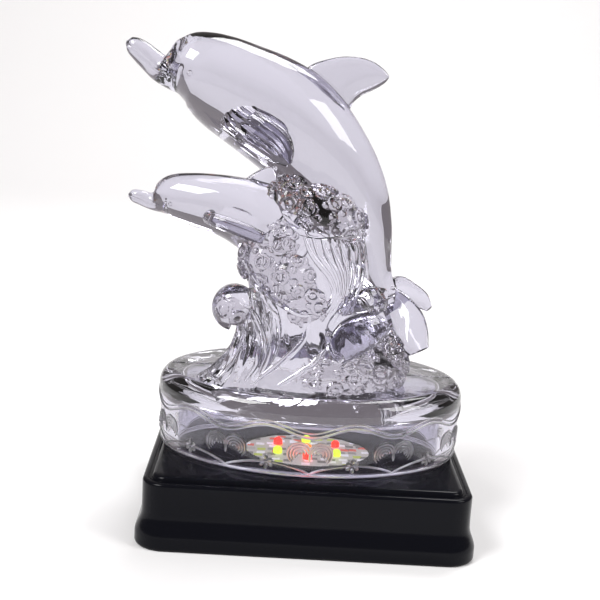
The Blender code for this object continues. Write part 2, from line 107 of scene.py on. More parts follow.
LOWER_DOLPHIN = [
    (-73.7, -4.0, 65.9, 0.6, 0.6, 0.6),
    (-72.3, -4.0, 65.9, 2.3, 2.1, 2.0),
    (-69.0, -4.0, 65.2, 2.9, 2.7, 2.8),
    (-65.7, -4.0, 64.3, 3.1, 3.1, 3.4),
    (-63.3, -4.0, 64.3, 3.9, 4.0, 4.2),
    (-60.4, -4.0, 65.2, 7.0, 5.9, 6.2),
    (-56.5, -4.2, 66.0, 8.9, 7.7, 8.0),
    (-50.3, -5.0, 66.0, 9.9, 9.4, 9.6),
    (-43.2, -6.0, 65.4, 10.8, 10.7, 10.8),
    (-35.8, -7.0, 64.2, 11.8, 11.6, 11.6),
    (-28.2, -8.0, 62.2, 13.1, 13.1, 12.2),
    (-19.9, -9.0, 58.8, 14.4, 14.4, 12.8),
    (-11.0, -10.0, 53.4, 14.0, 14.0, 12.8),
    (-2.0, -12.0, 47.0, 11.4, 11.4, 11.0),
    (8.0, -14.0, 40.4, 8.2, 8.2, 8.4),
    (17.0, -17.0, 35.0, 5.4, 5.4, 6.0),
    (23.6, -20.0, 31.0, 3.6, 3.6, 4.4),
]

# Where each dolphin's mouth ends, in x, and how far it lies below the beak's middle line
UPPER_MOUTH, LOWER_MOUTH = (-60.5, 0.18), (-59.5, 0.1)
MOUTH_DEPTH, MOUTH_WIDTH, MOUTH_FADE = 0.5, 0.55, 1.2
BEAK_HALF_WIDTH = 2.5
# Front-view place and radius of each dolphin's eye
EYES = [((-51.9, 112.9), 1.1), ((-57.0, 64.6), 0.8)]

# Stations of each fin: leading edge, trailing edge, then half the thickness
FINS = {
    "upper_dorsal": [
        ((-13.0, 5.0, 108.0), (7.0, 5.0, 93.0), 2.8),
        ((-8.6, 5.0, 117.4), (8.6, 5.0, 103.6), 2.2),
        ((0.2, 5.0, 121.2), (11.8, 5.0, 107.6), 1.7),
        ((8.0, 5.0, 122.3), (15.6, 5.0, 109.8), 1.4),
        ((15.2, 5.0, 121.2), (19.0, 5.0, 111.8), 1.2),
        ((20.2, 5.0, 118.2), (21.2, 5.0, 113.6), 1.0),
        ((22.2, 5.0, 116.0), (22.2, 5.0, 115.2), 0.5),
    ],
    "lower_dorsal": [
        ((-34.0, -8.0, 70.0), (-16.0, -8.0, 64.0), 2.2),
        ((-29.6, -8.0, 75.2), (-16.4, -8.0, 70.6), 1.8),
        ((-25.0, -8.0, 78.6), (-17.2, -8.0, 74.0), 1.3),
        ((-21.4, -8.0, 80.2), (-18.2, -8.0, 77.2), 0.8),
        ((-19.6, -8.0, 79.8), (-19.2, -8.0, 79.2), 0.4),
    ],
    "upper_pectoral": [
        ((-40.0, -6.0, 96.0), (-30.0, -6.0, 104.0), 3.0),
        ((-38.6, -13.5, 93.2), (-27.6, -14.0, 101.6), 2.8),
        ((-33.6, -19.0, 90.4), (-20.8, -19.6, 98.4), 2.4),
        ((-26.6, -22.0, 86.6), (-14.4, -22.6, 94.0), 2.0),
        ((-20.0, -24.0, 83.6), (-12.2, -24.4, 88.6), 1.5),
        ((-14.6, -25.2, 82.4), (-12.6, -25.2, 84.0), 0.7),
    ],
    "lower_pectoral": [
        ((-41.0, -10.0, 59.5), (-37.5, -10.0, 63.5), 1.7),
        ((-43.6, -19.2, 59.6), (-40.4, -20.0, 63.9), 2.0),
        ((-37.6, -24.0, 58.0), (-34.8, -24.4, 62.8), 1.9),
        ((-29.4, -25.6, 55.6), (-26.2, -25.8, 60.4), 1.6),
        ((-20.6, -23.6, 53.0), (-18.4, -23.6, 56.4), 0.8),
    ],
    "lower_pectoral_far": [
        ((-41.4, 1.6, 59.6), (-38.6, 2.4, 64.0), 1.6),
        ((-35.0, 2.4, 57.6), (-32.5, 3.4, 62.6), 1.9),
        ((-28.0, 2.4, 55.0), (-25.6, 3.2, 60.2), 1.7),
        ((-20.6, 1.6, 52.0), (-18.4, 2.0, 56.0), 1.0),
    ],
    "upper_fluke_far": [
        ((27.0, 2.0, 38.0), (26.0, 2.0, 28.0), 2.2),
        ((33.4, 8.6, 38.6), (30.6, 8.6, 27.4), 2.2),
        ((40.0, 14.0, 34.6), (35.2, 13.6, 26.2), 1.9),
        ((45.4, 18.4, 30.0), (40.4, 17.6, 24.4), 1.5),
        ((47.8, 21.0, 24.6), (45.4, 20.6, 22.4), 0.9),
    ],
    "upper_fluke_near": [
        ((27.0, 4.0, 37.0), (25.0, 4.0, 27.0), 2.2),
        ((34.4, -2.4, 33.6), (27.4, -3.4, 24.4), 2.2),
        ((40.4, -8.0, 28.4), (29.6, -9.4, 19.6), 1.9),
        ((42.8, -12.6, 22.4), (32.4, -13.8, 15.0), 1.5),
        ((43.2, -16.0, 16.4), (36.0, -16.6, 12.8), 1.0),
    ],
    "lower_fluke_high": [
        ((24.6, -17.0, 38.4), (24.6, -19.0, 29.0), 2.4),
        ((19.0, -21.0, 39.6), (20.2, -22.6, 30.2), 2.2),
        ((12.6, -23.6, 36.4), (14.4, -25.0, 29.6), 1.8),
        ((7.6, -25.0, 31.0), (9.2, -25.6, 28.6), 1.0),
    ],
    "lower_fluke_low": [
        ((24.0, -18.0, 31.6), (28.2, -18.6, 22.6), 2.6),
        ((16.6, -23.6, 30.4), (23.6, -24.6, 18.8), 2.6),
        ((9.0, -27.0, 27.0), (16.2, -28.8, 14.8), 2.2),
        ((4.6, -29.4, 20.6), (9.4, -31.0, 11.8), 1.7),
        ((5.0, -31.4, 14.6), (6.8, -31.8, 12.2), 0.8),
    ],
}

# Stations of each wave: height, then its reach left, right, front and back
MAIN_WAVE = [
    (-6.0, -36.0, 33.0, -32.0, 20.0),
    (1.0, -35.0, 33.0, -31.0, 19.0),
    (8.0, -31.0, 31.0, -29.0, 18.0),
    (17.0, -28.0, 28.0, -27.0, 17.0),
    (26.0, -26.0, 23.0, -25.0, 16.0),
    (35.0, -26.0, 19.4, -24.0, 15.0),
    (44.0, -27.0, 18.0, -23.0, 14.0),
    (52.0, -25.0, 16.6, -22.0, 12.0),
    (60.0, -20.0, 14.0, -21.0, 8.0),
    (67.0, -15.0, 8.0, -18.0, 2.0),
    (70.0, -12.0, 2.0, -15.0, -4.0),
]
SMALL_WAVE = [
    (-6.0, -44.0, -14.0, -30.0, -4.0),
    (0.6, -43.0, -14.0, -29.0, -5.0),
    (4.0, -38.6, -14.0, -28.0, -6.0),
    (10.0, -33.4, -14.0, -26.4, -7.0),
    (18.0, -29.6, -14.0, -25.0, -8.0),
    (26.0, -28.6, -14.0, -24.0, -9.0),
    (32.0, -29.0, -16.0, -23.0, -10.0),
    (34.6, -28.0, -18.0, -21.0, -12.0),
]
FLUTE_TWIST = 0.012
FLUTE_SIDES = 14
FINE_STREAMS = 0.22
CALM_SHARE, CALM_FADE = 0.3, 3.0
CURL_CENTRE = (-30.8, -16.0, 28.2)
CURL_RADIUS = 9.3
CURL_HALF_WIDTH = 8.5
CURL_LIP = 0.24
CURL_SIDES, CURL_STATIONS = 96, 30
# How far the curl narrows at its two ends, how full it is between, and where its lip lies
CURL_NARROWING, CURL_FULLNESS, CURL_START = 0.88, 2.6, 0.72

# Foam: centre, half sizes, tilt about Y in degrees, number of bubbles. Every third
# bubble is an open ring with a dome in it, the others are plain domes.
RING_RADII, DOME_RADII = (1.8, 2.7), (0.9, 1.9)
RING_WALL = 0.75
BUBBLE_REACH = 3.5
FOAM_HOLLOW = -0.7
FINE_FOAM_FROM = 7.3
FOAM = [
    ((-11.6, -12.0, 69.0), (9.6, 10.0, 8.2), 20.0, 52),
    ((-1.0, -13.4, 64.8), (10.8, 11.4, 9.6), 27.0, 60),
    ((6.4, -11.6, 61.8), (10.4, 12.0, 9.2), 28.0, 58),
    ((-19.8, -15.4, 46.4), (10.6, 11.0, 10.6), 14.0, 60),
    ((-10.6, -20.0, 40.6), (10.4, 9.6, 10.0), 30.0, 54),
    ((-3.6, -21.6, 31.4), (7.4, 7.6, 8.4), 40.0, 34),
    ((-15.2, -19.6, 54.6), (7.0, 7.0, 7.2), 20.0, 26),
    ((-31.4, -22.0, 28.6), (5.8, 4.2, 5.6), 0.0, 13),
    ((6.0, -22.6, 4.6), (16.4, 10.4, 10.2), -8.0, 110),
    ((24.0, -12.0, 8.4), (11.8, 13.4, 13.4), -16.0, 120),
]

# The curtain of streams under the crest
CURTAIN_STREAMS, CURTAIN_RADIUS = 8, 1.25

# Rolled lips and streams of the water: a front-view line of x, z, then its radius
WATER_LINES = [
    ([(-17.9, 73.4), (-14.1, 64.4), (-8.3, 58.5), (2.8, 57.4), (11.9, 58.6), (15.4, 63.0)], 1.3),
    ([(-28.7, 50.9), (-25.8, 43.6), (-18.7, 35.8), (-12.9, 31.2), (-6.5, 28.9), (-2.0, 28.8)], 1.2),
    ([(-2.8, 28.6), (-3.5, 21.1), (-9.2, 13.1), (-16.2, 6.6), (-21.8, 2.0)], 1.3),
    ([(4.1, 16.5), (-1.7, 9.7), (-8.7, 4.4), (-13.3, 1.4)], 1.2),
    ([(-30.4, 36.6), (-25.0, 36.6), (-19.4, 32.7), (-14.9, 24.6), (-15.0, 14.3), (-19.9, 4.1)], 1.9),
    ([(-27.4, 30.6), (-23.4, 27.4), (-20.0, 20.5), (-18.2, 12.3)], 1.2),
    ([(-24.6, 26.6), (-20.6, 18.4), (-21.3, 9.6), (-25.3, 2.6)], 1.2),
    ([(-20.6, 27.6), (-17.2, 21.0), (-18.0, 11.6), (-22.0, 4.0)], 0.5),
    ([(9.0, 31.0), (5.4, 25.7), (4.9, 18.2), (9.4, 12.2)], 1.3),
    ([(-29.1, 23.9), (-29.9, 17.4), (-32.5, 10.7), (-38.6, 4.5)], 0.8),
    ([(-27.3, 25.6), (-26.8, 16.9), (-29.7, 9.1), (-34.2, 3.0)], 0.7),
    ([(-41.4, 3.4), (-38.6, 2.6), (-34.0, 1.2)], 0.9),
]


def figure_point(x, y, z):
    """A point given in mm above the plinth's top, in metres of the row frame."""
    return Vector((x, y, PLINTH_TOP + z)) * MM


def new_object(name, builder, collection=None):
    """A smooth-shaded object from a bmesh, with its creases kept."""
    bmesh.ops.recalc_face_normals(builder, faces=builder.faces)
    mesh = bpy.data.meshes.new(name)
    builder.to_mesh(mesh)
    builder.free()
    mesh.shade_smooth()
    mesh.set_sharp_from_angle(angle=CASTING_CREASE)
    obj = bpy.data.objects.new(name, mesh)
    (collection or bpy.context.scene.collection).objects.link(obj)
    return obj


def loft(rings):
    """A closed solid through rings of equally many points, capped at both ends."""
    builder = bmesh.new()
    loops = [[builder.verts.new(point) for point in ring] for ring in rings]
    for lower, upper in zip(loops, loops[1:]):
        for i in range(len(lower)):
            j = (i + 1) % len(lower)
            builder.faces.new((lower[i], lower[j], upper[j], upper[i]))
    builder.faces.new(loops[0])
    builder.faces.new(loops[-1])
    return builder


def smooth_rows(rows, count, key=3):
    """Rows of numbers on a smooth curve through the given ones, evenly spaced."""
    distances = [0.0]
    for a, b in zip(rows, rows[1:]):
        distances.append(distances[-1] + math.dist(a[:key], b[:key]))
    slopes = []
    for i in range(len(rows)):
        before = max(i - 1, 0)
        after = min(i + 1, len(rows) - 1)
        span = distances[after] - distances[before]
        slopes.append([(b - a) / span for a, b in zip(rows[before], rows[after])])
    result = []
    place = 0
    for step in range(count + 1):
        distance = distances[-1] * step / count
        while place < len(rows) - 2 and distance > distances[place + 1]:
            place += 1
        span = distances[place + 1] - distances[place]
        t = (distance - distances[place]) / span
        start = 2 * t ** 3 - 3 * t ** 2 + 1
        start_slope = (t ** 3 - 2 * t ** 2 + t) * span
        end_slope = (t ** 3 - t ** 2) * span
        values = zip(rows[place], rows[place + 1], slopes[place], slopes[place + 1])
        result.append([a * start + b * (1 - start) + m * start_slope + n * end_slope
                       for a, b, m, n in values])
    return result


def directions(points):
    """The direction of travel at each point of a path."""
    last = len(points) - 1
    return [(points[min(i + 1, last)] - points[max(i - 1, 0)]).normalized() for i in range(last + 1)]


def bell(distance, width):
    """A smooth bump of height 1 at distance 0."""
    return math.exp(-(distance / width) ** 2)


def dolphin_body(name, stations, rings, sides, mouth, pieces):
    """A body lofted along its spine, with the line of the mouth pressed into the beak."""
    mouth_corner, mouth_drop = mouth
    rows = smooth_rows(stations, rings)
    centres = [Vector(row[:3]) for row in rows]
    loops = []
    for centre, along, row in zip(centres, directions(centres), rows):
        side = (Vector((0, 1, 0)) - along * along.y).normalized()
        up = along.cross(side)
        beak = 1 / (1 + math.exp((centre.x - mouth_corner) / MOUTH_FADE))
        loop = []
        for i in range(sides):
            angle = TAU * i / sides
            reach = row[3] if math.sin(angle) > 0 else row[4]
            offset = up * reach * math.sin(angle) + side * row[5] * math.cos(angle)
            below = offset.dot(up) + mouth_drop * row[5]
            press = MOUTH_DEPTH * beak * bell(below, MOUTH_WIDTH) * min(1.0, row[5] / BEAK_HALF_WIDTH)
            offset -= offset.normalized() * press
            loop.append(figure_point(*(centre + offset)))
        loops.append(loop)
    return new_object(name, loft(loops), pieces)


def fin(name, stations, rings, sides, pieces, ridges=0, ridge_height=0.0, mirror_y=None):
    """A thin blade from root to tip, with ridges along it or on the body's far side if asked."""
    rows = smooth_rows([(*lead, *trail, thick) for lead, trail, thick in stations], rings, key=6)
    middles = [(Vector(row[:3]) + Vector(row[3:6])) / 2 for row in rows]
    loops = []
    for number, (middle, along, row) in enumerate(zip(middles, directions(middles), rows)):
        chord = Vector(row[:3]) - middle
        normal = chord.cross(along).normalized()
        fade = math.sin(math.pi * min(1.0, 0.15 + number / rings)) ** 0.5
        loop = []
        for i in range(sides):
            angle = TAU * i / sides
            across = math.cos(angle)
            lift = ridge_height * fade * (1 - across ** 4) * math.cos(math.pi * ridges * across)
            thick = row[6] * math.sin(angle) + math.copysign(lift, math.sin(angle)) * (ridges > 0)
            point = middle + chord * across + normal * thick
            if mirror_y is not None:
                point.y = 2 * mirror_y - point.y
            loop.append(figure_point(*point))
        loops.append(loop)
    return new_object(name, loft(loops), pieces)


def wave(name, stations, flutes, flute_depth, rings, calm_below, pieces):
    """A rising body of water with large flutes, and finer streams over them."""
    around = flutes * FLUTE_SIDES
    loops = []
    for height, left, right, front, back in smooth_rows(stations, rings, key=1):
        calm = CALM_SHARE + (1 - CALM_SHARE) / (1 + math.exp((calm_below - height) / CALM_FADE))
        loop = []
        for i in range(around):
            angle = TAU * i / around - FLUTE_TWIST * height
            turn = TAU * i / FLUTE_SIDES
            fine = FINE_STREAMS * math.cos(3 * turn + 1.3 * math.sin(height / 9))
            ripple = 1 + flute_depth * calm * (math.cos(turn) + fine)
            x = (left + right) / 2 + (right - left) / 2 * math.cos(angle) * ripple
            y = (front + back) / 2 + (back - front) / 2 * math.sin(angle) * ripple
            loop.append(figure_point(x, y, height))
        loops.append(loop)
    return new_object(name, loft(loops), pieces)


def wave_curl(name, pieces):
    """The small wave's rolled head, its section wound in to a lip."""
    centre = Vector(CURL_CENTRE)
    loops = []
    for step in range(CURL_STATIONS + 1):
        share = 2 * step / CURL_STATIONS - 1
        bulge = math.sqrt(1 - CURL_NARROWING * abs(share) ** CURL_FULLNESS)
        loop = []
        for i in range(CURL_SIDES):
            turn = i / CURL_SIDES
            reach = CURL_RADIUS * bulge * (1 - CURL_LIP * turn)
            angle = TAU * (CURL_START - turn)
            offset = Vector((reach * math.cos(angle), share * CURL_HALF_WIDTH, reach * math.sin(angle)))
            loop.append(figure_point(*(centre + offset)))
        loops.append(loop)
    return new_object(name, loft(loops), pieces)


def foam_mass(name, centre, half_sizes, tilt, bubbles, pieces, seed):
    """A mound of round bubbles of mixed sizes, every few of them an open ring."""
    dice = random.Random(seed)
    lean = math.radians(tilt)
    golden = math.pi * (3 - math.sqrt(5))
    half = Vector(half_sizes)
    seats = []
    tree = KDTree(bubbles)
    for i in range(bubbles):
        z = max(-1.0, min(1.0, 1 - 2 * (i + 0.5 + dice.uniform(-1.5, 1.5)) / bubbles))
        ring = math.sqrt(1 - z * z)
        turn = golden * i + dice.uniform(-0.2, 0.2)
        place = Vector((ring * math.cos(turn), ring * math.sin(turn), z)) * half
        is_ring = i % 3 == 1
        seats.append((dice.uniform(*(RING_RADII if is_ring else DOME_RADII)), is_ring))
        tree.insert(place, i)
    tree.balance()
    builder = bmesh.new()
    fineness = 6 if max(half_sizes) > FINE_FOAM_FROM else 5
    bmesh.ops.create_icosphere(builder, subdivisions=fineness, radius=1.0)
    for vert in builder.verts:
        place = vert.co * half
        swell = FOAM_HOLLOW
        for _, index, distance in tree.find_range(place, BUBBLE_REACH):
            radius, is_ring = seats[index]
            if is_ring:
                from_ring = abs(distance - radius)
                inside = radius - RING_WALL
                if from_ring < RING_WALL:
                    swell = max(swell, math.sqrt(RING_WALL ** 2 - from_ring ** 2) * 1.2 + 0.2)
                if distance < inside:
                    swell = max(swell, math.sqrt(inside ** 2 - distance ** 2) * 0.9 - 0.3)
            elif distance < radius:
                swell = max(swell, math.sqrt(radius ** 2 - distance ** 2) * 0.65 - 0.5)
        place = place + vert.co.normalized() * swell
        x = place.x * math.cos(lean) + place.z * math.sin(lean)
        z = place.z * math.cos(lean) - place.x * math.sin(lean)
        vert.co = figure_point(centre[0] + x, centre[1] + place.y, centre[2] + z)
    return new_object(name, builder, pieces)


def circle(middle, across, up, radius, sides):
    """Points of a circle round a middle, in the plane of two unit directions."""
    return [middle + (across * math.cos(TAU * i / sides) + up * math.sin(TAU * i / sides)) * radius
            for i in range(sides)]


def tube(name, points, radii, pieces, sides):
    """A closed round bar along a path in metres, thinned where its radii say."""
    loops = []
    normal = Vector((0, -1, 0.3))
    for place, along, radius in zip(points, directions(points), radii):
        normal = (normal - along * normal.dot(along)).normalized()
        loops.append(circle(place, normal, along.cross(normal), radius, sides))
    return new_object(name, loft(loops), pieces)


OUTSIDE = 60.0
SMOOTHING_PASSES = 3


def surface_line(tree, path, steps):
    """Points on the casting's front under a line drawn in its front view, in mm."""
    found = []
    for x, z in smooth_rows(path, steps, key=2):
        hit = tree.ray_cast(figure_point(x, -OUTSIDE, z), Vector((0, 1, 0)))[0]
        if hit is not None:
            found.append(hit)
    for _ in range(SMOOTHING_PASSES):
        for i in range(1, len(found) - 1):
            found[i].y = (found[i - 1].y + 2 * found[i].y + found[i + 1].y) / 4
    return found


def tapered(count, radius, least=0.3):
    """Radii of a bar that is thick in the middle and thin at its ends."""
    return [radius * MM * (least + (1 - least) * math.sin(math.pi * i / (count - 1)) ** 0.6)
            for i in range(count)]


def union(name, body, pieces):
    """Join every piece of a collection to a body, keep the result and drop the pieces."""
    modifier = body.modifiers.new(name, "BOOLEAN")
    modifier.operation = "UNION"
    modifier.solver = "MANIFOLD"
    modifier.operand_type = "COLLECTION"
    modifier.collection = pieces
    modifier.material_mode = "TRANSFER"
    keep_result(body)
    for obj in list(pieces.objects):
        bpy.data.objects.remove(obj)
    bpy.data.collections.remove(pieces)


def subtract(body, cutter):
    """Cut a shape out of a body, keep the result and drop the shape."""
    modifier = body.modifiers.new(cutter.name, "BOOLEAN")
    modifier.operation = "DIFFERENCE"
    modifier.solver = "MANIFOLD"
    modifier.object = cutter
    keep_result(body)
    bpy.data.objects.remove(cutter)


def keep_result(body):
    """Turn a body's modifiers into its own mesh."""
    graph = bpy.context.evaluated_depsgraph_get()
    graph.update()
    mesh = bpy.data.meshes.new_from_object(
        body.evaluated_get(graph), preserve_all_data_layers=True, depsgraph=graph)
    body.modifiers.clear()
    body.data = mesh


def new_collection(name):
    """A collection in the scene for pieces that are joined later."""
    collection = bpy.data.collections.new(name)
    bpy.context.scene.collection.children.link(collection)
    return collection


def oval_ring(length, depth, height, sides=160):
    """Points round an oval, sizes in mm."""
    half_length, half_depth = length / 2, depth / 2
    return [Vector((half_length * math.cos(TAU * i / sides), half_depth * math.sin(TAU * i / sides),
                    height)) * MM for i in range(sides)]


def plinth(name):
    """The oval plinth: walls with draft, a rounded shoulder and a flat top."""
    rings = []
    wall_steps, shoulder_steps = 6, 14
    for step in range(wall_steps):
        share = step / wall_steps
        inset = 2 * PLINTH_DRAFT * (1 - share)
        height = PLINTH_BOTTOM + share * (PLINTH_HEIGHT - SHOULDER_DROP)
        rings.append(oval_ring(PLINTH_LENGTH - inset, PLINTH_DEPTH - inset, height))
    for step in range(shoulder_steps + 1):
        angle = math.pi / 2 * step / shoulder_steps
        inset = 2 * SHOULDER * (1 - math.cos(angle))
        height = PLINTH_TOP - SHOULDER_DROP * (1 - math.sin(angle))
        rings.append(oval_ring(PLINTH_LENGTH - inset, PLINTH_DEPTH - inset, height))
    return new_object(name, loft(rings))


# How far a cutter reaches out of the face that it opens
CUT_PAST = 5.0


def plinth_hollow(name):
    """The space under the plinth that the lamps shine into."""
    length = PLINTH_LENGTH - 2 * PLINTH_WALL
    depth = PLINTH_DEPTH - 2 * PLINTH_WALL
    ceiling = PLINTH_BOTTOM + HOLLOW_HEIGHT
    rings = [oval_ring(length, depth, PLINTH_BOTTOM - CUT_PAST),
             oval_ring(length, depth, ceiling - HOLLOW_ROUND)]
    for step in range(1, 7):
        angle = math.pi / 2 * step / 6
        inset = 2 * HOLLOW_ROUND * (1 - math.cos(angle))
        height = ceiling - HOLLOW_ROUND * (1 - math.sin(angle))
        rings.append(oval_ring(length - inset, depth - inset, height))
    return new_object(name, loft(rings))


# Plinth ornament: one motif repeats round the wall. The sinks are shares of a bar's
# radius, and the shells' radii and the petals' reaches are in mm.
MOTIFS = 10
RIBBON_SINK, MOTIF_SINK = 0.35, 0.1
SHELL_HEIGHT, SHELL_ASIDE, SHELL_RADII = 9.0, 3.9, (1.0, 2.1, 3.2, 4.3)
SHELL_STEPS = 8
FLOWER_HEIGHT, PETALS, PETAL_REACHES = 4.8, 6, (0.7, 1.7, 2.8)


def wall_frames():
    """Angles of the oval for even steps of arc length, the first at the front."""
    count = 3600
    a, b = PLINTH_LENGTH / 2, PLINTH_DEPTH / 2
    angles = [-math.pi / 2 + TAU * i / count for i in range(count + 1)]
    lengths = [0.0]
    for t in angles[1:]:
        lengths.append(lengths[-1] + math.hypot(a * math.sin(t), b * math.cos(t)) * TAU / count)
    return angles, lengths


WALL_ANGLES, WALL_LENGTHS = wall_frames()


def wall_point(share, height):
    """A point on the plinth's wall: share of the way round from the front, mm above the bottom."""
    target = (share % 1.0) * WALL_LENGTHS[-1]
    low, high = 0, len(WALL_LENGTHS) - 1
    while high - low > 1:
        middle = (low + high) // 2
        if WALL_LENGTHS[middle] > target:
            high = middle
        else:
            low = middle
    part = (target - WALL_LENGTHS[low]) / (WALL_LENGTHS[high] - WALL_LENGTHS[low])
    t = WALL_ANGLES[low] + part * (WALL_ANGLES[high] - WALL_ANGLES[low])
    inset = PLINTH_DRAFT * max(0.0, 1 - height / (PLINTH_HEIGHT - SHOULDER_DROP))
    a, b = PLINTH_LENGTH / 2 - inset, PLINTH_DEPTH / 2 - inset
    place = Vector((a * math.cos(t), b * math.sin(t), PLINTH_BOTTOM + height)) * MM
    outward = Vector((b * math.cos(t), a * math.sin(t), 0)).normalized()
    return place, outward


def wall_bar(name, path, radius, pieces, steps, sides=6):
    """A bar laid on the plinth's wall along a path of (motifs round, height)."""
    points = []
    for u, h in smooth_rows(path, steps, key=2):
        place, outward = wall_point(u / MOTIFS, h)
        points.append(place - outward * radius * MOTIF_SINK * MM)
    return tube(name, points, tapered(len(points), radius), pieces, sides)


def wall_ring(name, height_at, radius, pieces, steps=400, sides=6):
    """A closed bar all the way round the wall, its height a function of motifs round."""
    builder = bmesh.new()
    loops = []
    for i in range(steps):
        u = MOTIFS * i / steps
        place, outward = wall_point(u / MOTIFS, height_at(u))
        place = place - outward * radius * RIBBON_SINK * MM
        loops.append([builder.verts.new(point)
                      for point in circle(place, outward, Vector((0, 0, 1)), radius * MM, sides)])
    for i in range(steps):
        for k in range(sides):
            n, m = (i + 1) % steps, (k + 1) % sides
            builder.faces.new((loops[i][k], loops[i][m], loops[n][m], loops[n][k]))
    return new_object(name, builder, pieces)


def plinth_ornament(pieces):
    """Two wavy ribbons, swags, flowers and pairs of shells round the plinth's wall."""
    mm_per_motif = WALL_LENGTHS[-1] / MOTIFS
    wall_ring("ribbon_low", lambda u: 17.2 - 1.9 * math.cos(TAU * u), 0.6, pieces)
    wall_ring("ribbon_high", lambda u: 18.8 - 1.9 * math.cos(TAU * u), 0.34, pieces)
    wall_ring("foot_bead", lambda u: 0.75, 0.5, pieces)
    wall_ring("swag_line", lambda u: 1.3 + 3.6 * abs(math.sin(math.pi * u)) ** 0.8, 0.5, pieces)
    for motif in range(MOTIFS):
        for side in (-1, 1):
            for number, reach in enumerate(SHELL_RADII):
                path = []
                for step in range(SHELL_STEPS + 1):
                    turn = math.radians(-50 + 230 * step / SHELL_STEPS)
                    path.append((motif + side * (SHELL_ASIDE + reach * math.cos(turn)) / mm_per_motif,
                                 SHELL_HEIGHT + reach * math.sin(turn)))
                wall_bar(f"shell_{motif}_{side}_{number}", path, 0.62, pieces, 14)
        wall_bar(f"stem_{motif}", [(motif, 6.0), (motif, 8.0), (motif, 9.6)], 0.6, pieces, 4)
        middle = motif + 0.5
        for petal in range(PETALS):
            turn = TAU * petal / PETALS
            path = [(middle + reach * math.sin(turn) / mm_per_motif,
                     FLOWER_HEIGHT + reach * math.cos(turn)) for reach in PETAL_REACHES]
            wall_bar(f"petal_{motif}_{petal}", path, 0.85, pieces, 5)


def give_material(pieces, material):
    """Give every piece of a collection one material before they are joined."""
    for obj in pieces.objects:
        obj.data.materials.append(material)


def solid_forms(clear, bubbled_and_shaded):
    """The waves, dolphins, fins and foam, each a closed solid, before they are joined."""
    forms = new_collection("forms")
    wave("main_wave", MAIN_WAVE, 15, 0.045, 52, 32.0, forms)
    wave("small_wave", SMALL_WAVE, 10, 0.05, 36, -20.0, forms)
    wave_curl("wave_curl", forms)
    dolphin_body("upper_body", UPPER_DOLPHIN, 120, 80, UPPER_MOUTH, forms)
    dolphin_body("lower_body", LOWER_DOLPHIN, 100, 64, LOWER_MOUTH, forms)
    plain = {"rings": 26, "sides": 32, "pieces": forms}
    ribbed = {"rings": 40, "sides": 64, "pieces": forms, "ridges": 3, "ridge_height": 0.7}
    middle = UPPER_DOLPHIN[9][1]
    fin("upper_dorsal", FINS["upper_dorsal"], **plain)
    fin("lower_dorsal", FINS["lower_dorsal"], **plain)
    fin("upper_pectoral_near", FINS["upper_pectoral"], **ribbed)
    fin("upper_pectoral_far", FINS["upper_pectoral"], mirror_y=middle, **plain)
    fin("lower_pectoral_near", FINS["lower_pectoral"], **plain)
    for name in ("lower_pectoral_far", "upper_fluke_far", "upper_fluke_near", "lower_fluke_high",
                 "lower_fluke_low"):
        fin(name, FINS[name], **plain)
    give_material(forms, clear)
    for number, mass in enumerate(FOAM, start=1):
        foam = foam_mass(f"foam_{number}", *mass, forms, seed=number)
        # The foam takes the darker copy of the acrylic: painted shade
        foam.data.materials.append(bubbled_and_shaded)
    return forms


def curtain_lines():
    """The streams that fall from the crest, swung to the right and drawn in at the foot."""
    lines = []
    for stream in range(CURTAIN_STREAMS):
        share = stream / (CURTAIN_STREAMS - 1)
        top, foot = -7.0 + 22.0 * share, 1.5 + 10.0 * share
        lean = 5.5 - 3.0 * share
        lines.append(([(top, 58.0), (top + 0.6 * lean, 51.0), ((top + foot) / 2 + lean, 43.0),
                       (foot + 0.7 * lean, 36.0), (foot, 29.0)], CURTAIN_RADIUS))
    return lines


def surface_relief(casting):
    """Streams, eyes and the mould line, laid on the surface of the joined forms."""
    tree = BVHTree.FromObject(casting, bpy.context.evaluated_depsgraph_get())
    relief = new_collection("relief")
    for number, (path, radius) in enumerate(WATER_LINES + curtain_lines()):
        points = surface_line(tree, path, 36)
        tube(f"stream_{number}", points, tapered(len(points), radius), relief, sides=10)
    for number, ((x, z), radius) in enumerate(EYES):
        near = tree.ray_cast(figure_point(x, -OUTSIDE, z), Vector((0, 1, 0)))[0]
        far = tree.ray_cast(figure_point(x, OUTSIDE, z), Vector((0, -1, 0)))[0]
        for side, place in enumerate((near, far)):
            builder = bmesh.new()
            bmesh.ops.create_icosphere(builder, subdivisions=4, radius=radius * MM)
            bmesh.ops.translate(builder, verts=builder.verts, vec=place)
            new_object(f"eye_{number}_{side}", builder, relief)
    seam = [Vector((-55.0 + 2.2 * i, 2.0, PLINTH_TOP - 0.1)) * MM for i in range(51)]
    tube("mould_seam", seam, [0.28 * MM] * len(seam), relief, sides=6)
    return relief


def crystal_casting(clear, bubbled_and_shaded, matt):
    """Dolphins, waves, foam and plinth as one clear solid with all its relief."""
    casting = plinth("crystal_casting")
    casting.data.materials.append(clear)
    union("forms", casting, solid_forms(clear, bubbled_and_shaded))
    relief = surface_relief(casting)
    give_material(relief, clear)
    union("relief", casting, relief)
    ornament = new_collection("ornament")
    plinth_ornament(ornament)
    # The ornament takes the paler copy of the acrylic: painted light
    give_material(ornament, matt)
    union("ornament", casting, ornament)
    subtract(casting, plinth_hollow("plinth_hollow"))
    casting.data.shade_smooth()
    casting.data.set_sharp_from_angle(angle=CASTING_CREASE)
    return casting


